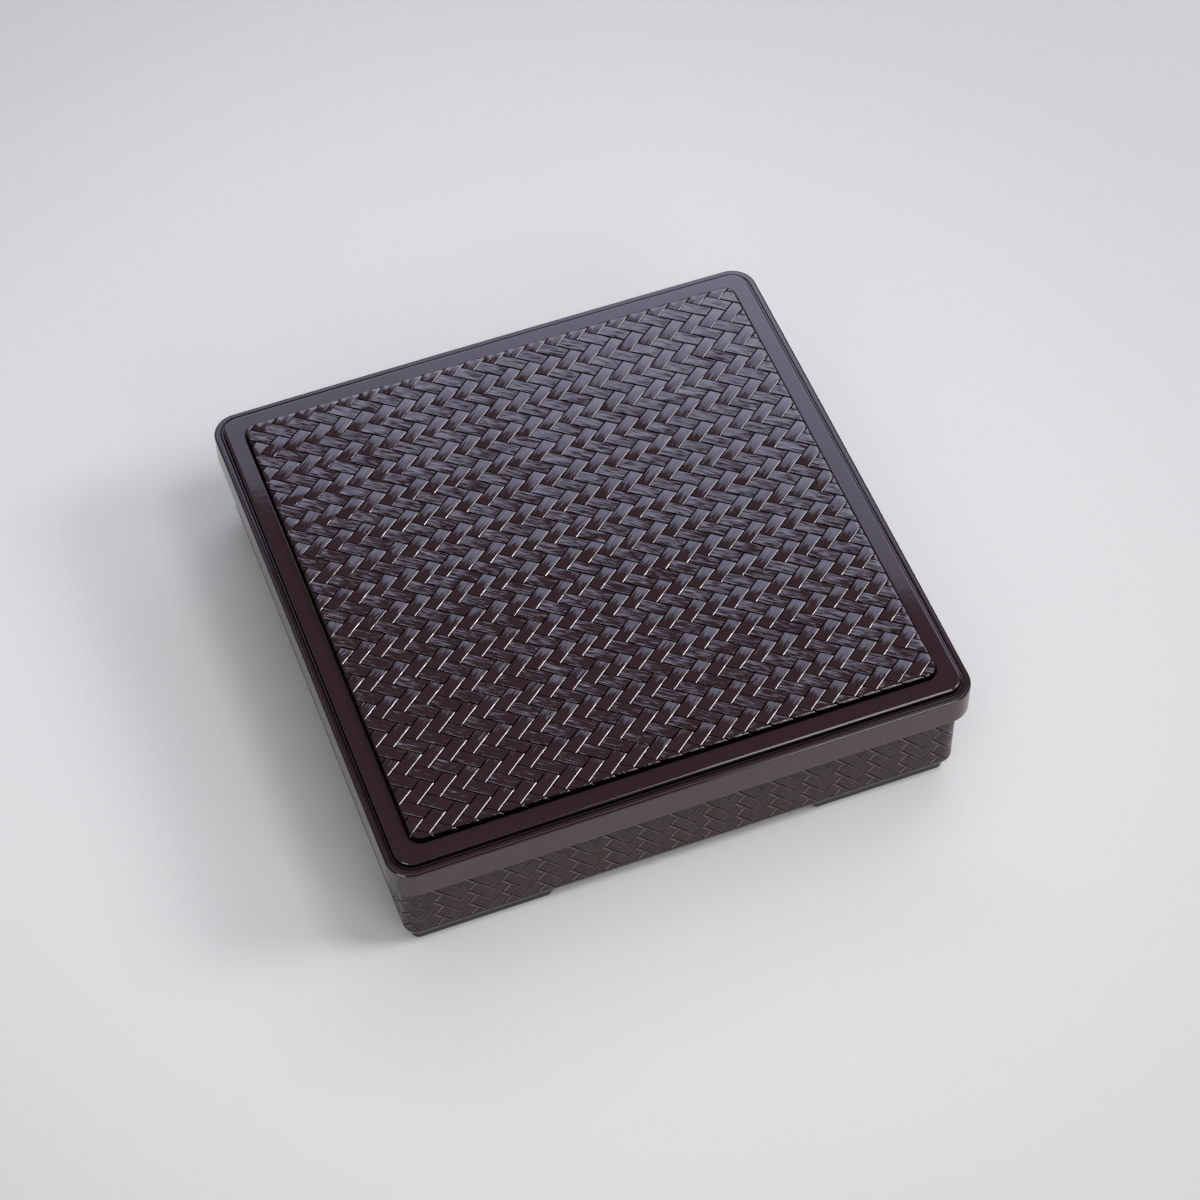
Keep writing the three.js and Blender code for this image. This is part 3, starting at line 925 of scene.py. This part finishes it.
def foot_ring(sizes, half, top):
    """The foot ring with a slant-ended opening in the middle of each side, sunk into the box."""
    outer = Square(half - sizes.foot_inset, sizes.foot_corner)
    inner = Square(outer.half - sizes.foot_wall, sizes.foot_corner)
    edge = sizes.foot_round
    high = top + sizes.floor / 2
    ring = piece("ring_stock", loft([
        *rounding(grown(inner, edge), edge, edge, 180, 270),
        *rounding(grown(outer, -edge), edge, edge, -90, 0),
        Section(*outer, high),
        Section(*inner, high),
    ], ring=True))
    slope = sizes.foot_slant / sizes.foot_height
    below = 1 * MM
    low_x = sizes.foot_opening / 2 + slope * below
    high_x = sizes.foot_opening / 2 - sizes.foot_slant
    profile = ((-low_x, -below), (low_x, -below), (high_x, top), (-high_x, top))
    cutters = []
    for turn in (0, math.pi / 2):
        work = bmesh.new()
        front, back = ([work.verts.new((x, y, z)) for x, z in profile] for y in (-half, half))
        work.faces.new(front)
        work.faces.new(back[::-1])
        bridge(work, back, front)
        bmesh.ops.recalc_face_normals(work, faces=work.faces)
        bmesh.ops.rotate(work, verts=work.verts, matrix=Matrix.Rotation(turn, 3, "Z"))
        cutters.append(piece("opening", work))
        add_boolean(ring, cutters[-1], "DIFFERENCE")
    work = baked(ring)
    for cutter in cutters:
        bpy.data.objects.remove(cutter)
    return piece("ring", work)


def add_boolean(target, other, operation):
    """Adds an exact boolean to the target's modifiers."""
    modifier = target.modifiers.new(operation.lower(), "BOOLEAN")
    modifier.operation = operation
    modifier.solver = "EXACT"
    modifier.object = other


class BENTO_OT_wall_weave(bpy.types.Operator):
    """Makes the woven band round the box's walls"""

    bl_idname = "bento.wall_weave"
    bl_label = "Wall Weave"

    def execute(self, context):
        settings = context.scene.bento
        weave = settings.weave
        outer = Square(BOX_HIGH.x, settings.box.corner)
        path, whole = wall_path(outer)
        repeats = round(whole / weave.wall_round)
        top = wall_weave_top(weave)
        # The cloth has two spare repeats below and one above, and is cropped to the wall
        work = woven_cloth(weave_tree(round_path=True), {
            "Float": make_float(weave, WALL_PROFILE, weave.wall_depth, weave.wall_arch, weave.wall_bevel),
            "Node Along": weave.wall_up / 2,
            "Node Across": whole / (4 * repeats),
            "Columns": math.ceil((top - weave.wall_base) / weave.wall_up) + 3,
            "Rows": repeats,
            "Start": (weave.wall_base - 2 * weave.wall_up, 0, -weave.uneven),
            "Unevenness": weave.uneven,
            "Seed": weave.wall_seed,
            "Path": path,
            "Path Length": whole,
        }, merge=0.002 * MM)
        bpy.data.objects.remove(path)
        crop(work, (0, 0, weave.wall_low), (0, 0, -1))
        crop(work, (0, 0, top), (0, 0, 1))
        back, open_edges = extruded_rim(work)
        centre = outer.half - outer.corner
        deep = outer.corner - weave.wall_depth - 4 * weave.uneven
        for v in back:
            near = Vector([max(-centre, min(centre, c)) for c in v.co.xy])
            v.co.xy = near + (v.co.xy - near).normalized() * deep
        bmesh.ops.bridge_loops(work, edges=open_edges)
        bmesh.ops.recalc_face_normals(work, faces=work.faces)
        woven = piece(
            "wall_weave", work, tame_nuri_lacquer_on_wall_ajiro, smooth_angle=WEAVE_SMOOTH_ANGLE
        )
        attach(woven, "box")
        return {"FINISHED"}


def wall_path(square):
    """A closed curve round the box from the middle of its front, clockwise from above, with
    its length."""
    points = [p.to_3d() for p in outline(square)][::-1]
    front = Vector((0, -square.half, 0))
    first = min(range(len(points)), key=lambda k: (points[k] - front).length)
    points = points[first:] + points[:first]
    data = bpy.data.curves.new("wall_path", "CURVE")
    data.dimensions = "3D"
    spline = data.splines.new("POLY")
    spline.points.add(len(points) - 1)
    for target, p in zip(spline.points, points):
        target.co = (*p, 1)
    spline.use_cyclic_u = True
    whole = sum((a - b).length for a, b in zip(points, points[1:] + points[:1]))
    return new_object("wall_path", data), whole


class BENTO_OT_boards(bpy.types.Operator):
    """Finishes the two boards of the cross"""

    bl_idname = "bento.boards"
    bl_label = "Boards"

    def execute(self, context):
        for name in ("long_divider", "cross_divider"):
            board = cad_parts[name]
            board.data.materials.clear()
            board.data.materials.append(finish(black_lacquer))
        return {"FINISHED"}


# Studio

Lamp = namedtuple(
    "Lamp", "name tint radiance place side width height fade seen lit", defaults=(1.0, True, True)
)
BLUE, PALE_BLUE = (0.66, 0.72, 1.0), (0.76, 0.82, 1.0)
WHITE, SOFT_WHITE, WARM_WHITE = (1.0, 1.0, 1.0), (1.0, 0.99, 0.98), (1.0, 0.97, 0.95)
CREAM, SHELL = (1.0, 0.99, 0.97), (1.0, 0.98, 0.97)
# The way along the width of the two lights behind, and of those level with the box
BACK_SIDE = (0.8719, -0.4569, 0.1763)
LEVEL_SIDE = (1.0, 0.0, 0.0)

LAMPS = (
    # The two behind the box give the lacquer its sheen, and the first is only that
    Lamp("back_softbox", BLUE, 3.1, (0.9191, 2.4574, 2.9594), BACK_SIDE, 4.4, 0.62, fade=0.38, lit=False),
    Lamp("back_window", PALE_BLUE, 3.0, (1.2013, 2.8177, 2.4978), BACK_SIDE, 4.4, 0.68),
    # These three draw the white lines on the strips' edges, and the key throws the shadow
    Lamp("key_softbox", SOFT_WHITE, 12.5, (1.92, -0.88, 1.57), (0.41, 0.912, 0.0), 0.58, 0.72),
    Lamp("key_wing", SOFT_WHITE, 6.5, (2.08, -0.42, 1.5), (0.196, 0.98, 0.0), 0.5, 0.75),
    Lamp("edge_softbox", WHITE, 9.0, (0.80, -0.60, 2.25), LEVEL_SIDE, 0.6, 0.45),
    # Soft light all round, which the lacquer doesn't mirror
    Lamp("side_softbox", SOFT_WHITE, 0.9, (2.2, 1.1, 2.1), (0.45, -0.89, 0.0), 1.6, 1.4, seen=False),
    Lamp("overhead_softbox", SOFT_WHITE, 0.85, (-0.3, -0.2, 2.6), LEVEL_SIDE, 3.2, 3.2, seen=False),
    Lamp("front_softbox", WARM_WHITE, 2.6, (0.6, -2.06, 1.1), (0.96, 0.28, 0.0), 1.4, 1.0, seen=False),
    Lamp("fill_softbox", CREAM, 1.2, (-1.9, -1.6, 1.7), (0.64, -0.77, 0.0), 2.0, 1.2, seen=False),
    # Strips that only the near edges and the walls mirror
    Lamp("front_strip", SHELL, 6.0, (0.87, -1.96, 1.15), (0.914, 0.406, 0.0), 0.8, 1.7, lit=False),
    Lamp("low_strip", SOFT_WHITE, 6.0, (-1.73, -1.32, 0.4), (0.607, -0.795, 0.0), 1.1, 0.8, lit=False),
)


class BENTO_OT_studio(bpy.types.Operator):
    """Sets the table, the lights and the camera"""

    bl_idname = "bento.studio"
    bl_label = "Studio"

    def execute(self, context):
        table()
        for lamp in LAMPS:
            light(lamp)
        sky(context.scene)
        camera(context.scene)
        context.scene.view_settings.view_transform = "Standard"
        return {"FINISHED"}


def table():
    """A table that reaches far past the picture."""
    work = bmesh.new()
    bmesh.ops.create_grid(work, x_segments=1, y_segments=1, size=6)
    floor = piece("table", work, matt_table)


def matt_table(add, finishes):
    """Pale matt board with a faint mottle, and a pool of light painted on it: the grey darkens away from a
    spot just behind the box and to its left.
    """
    brightest, bright_reach, dark_reach, darkest = (-0.07, 0.06, 0), 0.12, 0.5, 0.76
    place = add("TexCoord").outputs["Object"]
    mottle = add("TexNoise", {"Vector": place, "Scale": per_metre(500)})
    mottle = add("MapRange", {"Value": mottle, "To Min": 0.98, "To Max": 1.02})
    reach = add("VectorMath", {0: place, 1: brightest}, operation="DISTANCE").outputs["Value"]
    painted_light_falloff = add(
        "MapRange",
        {"Value": reach, "From Min": bright_reach, "From Max": dark_reach, "To Min": 1.0,
         "To Max": darkest},
        interpolation_type="SMOOTHSTEP",
    )
    value = add("Math", {0: mottle, 1: painted_light_falloff}, operation="MULTIPLY")
    shade = add("HueSaturation", {"Color": finishes.table, "Value": value})
    return add("BsdfPrincipled", {"Base Color": shade, "Roughness": 0.6})


def light(lamp):
    """A soft rectangular light that stands at its place, with its width along its side, and
    faces the box. Its lower edge has fade of its radiance. One that isn't seen makes no
    reflection, and one that isn't lit makes nothing else."""
    data = bpy.data.lights.new(lamp.name, "AREA")
    data.shape = "RECTANGLE"
    data.size = lamp.width
    data.size_y = lamp.height
    data.color = lamp.tint
    data.energy = 4 * lamp.radiance * lamp.width * lamp.height
    if lamp.fade < 1:
        add = empty_tree(data)
        spot = add("NewGeometry").outputs["Parametric"]
        high = add("SeparateXYZ", {0: spot}).outputs["Y"]
        share = add("MapRange", {"Value": high, "To Min": lamp.fade})
        glow = add("Emission", {"Strength": share})
        add("OutputLight", {"Surface": glow})
    made = new_object(lamp.name, data)
    made.visible_glossy = lamp.seen
    made.visible_diffuse = lamp.lit
    place, side = Vector(lamp.place), Vector(lamp.side).normalized()
    back = (place - place.dot(side) * side).normalized()
    turn = Matrix((side, back.cross(side), back)).transposed()
    made.matrix_world = Matrix.Translation(place) @ turn.to_4x4()


def sky(scene):
    """A bright band low round the back and the sides, under a dark ceiling."""
    back, dim, band = (0.339, 0.941, 0.0), 0.08, 0.1
    world = bpy.data.worlds.new("studio")
    add = empty_tree(world)
    way = add("TexCoord").outputs["Generated"]
    height = add("SeparateXYZ", {0: way}).outputs["Z"]
    low = add(
        "MapRange", {"Value": height, "From Min": 0.78, "From Max": 0.6}, interpolation_type="SMOOTHSTEP"
    )
    behind = add("VectorMath", {0: way, 1: back}, operation="DOT_PRODUCT").outputs["Value"]
    behind = add(
        "MapRange", {"Value": behind, "From Min": -0.6, "From Max": 0.3, "To Min": 0.1},
        interpolation_type="SMOOTHSTEP",
    )
    bright = add("Math", {0: low, 1: behind}, operation="MULTIPLY")
    bright = add("Math", {0: bright, 1: band, 2: dim}, operation="MULTIPLY_ADD")
    glow = add("Background", {"Color": linear("f2f1ef"), "Strength": bright})
    add("OutputWorld", {"Surface": glow})
    scene.world = world


def camera(scene):
    """The camera, turned by its azimuth, elevation and roll."""
    studio = scene.bento.studio
    data = bpy.data.cameras.new("camera")
    data.lens = studio.lens
    data.sensor_width = 36
    data.clip_start = 0.05
    seen = new_object("camera", data)
    a, e = studio.azimuth, studio.elevation
    back = Vector((math.sin(a) * math.cos(e), -math.cos(a) * math.cos(e), math.sin(e)))
    right = Vector((math.cos(a), math.sin(a), 0))
    side = math.cos(studio.roll) * right + math.sin(studio.roll) * back.cross(right)
    turn = Matrix((side, back.cross(side), back)).transposed()
    seen.matrix_world = Matrix.Translation(studio.place) @ turn.to_4x4()
    scene.camera = seen


OPERATORS = (
    BENTO_OT_studio,
    BENTO_OT_lid_shell,
    BENTO_OT_lid_weave,
    BENTO_OT_box_shell,
    BENTO_OT_wall_weave,
    BENTO_OT_boards,
)


class BENTO_PT_panel(bpy.types.Panel):
    """Lists the operators of the bento box"""

    bl_label = "Bento Box"
    bl_space_type = "VIEW_3D"
    bl_region_type = "UI"
    bl_category = "Bento Box"

    def draw(self, context):
        for operator in OPERATORS:
            self.layout.operator(operator.bl_idname)


CLASSES = (
    LidSizes, BoxSizes, WeaveSizes, Finishes, StudioSettings, BentoSettings, *OPERATORS, BENTO_PT_panel,
)


def register():
    for cls in CLASSES:
        bpy.utils.register_class(cls)
    bpy.types.Scene.bento = PointerProperty(type=BentoSettings)


def unregister():
    del bpy.types.Scene.bento
    for cls in reversed(CLASSES):
        bpy.utils.unregister_class(cls)


def main():
    register()
    bpy.ops.bento.studio()
    bpy.ops.bento.lid_shell()
    bpy.ops.bento.lid_weave()
    bpy.ops.bento.box_shell()
    bpy.ops.bento.wall_weave()
    bpy.ops.bento.boards()


if __name__ == "__main__":
    main()
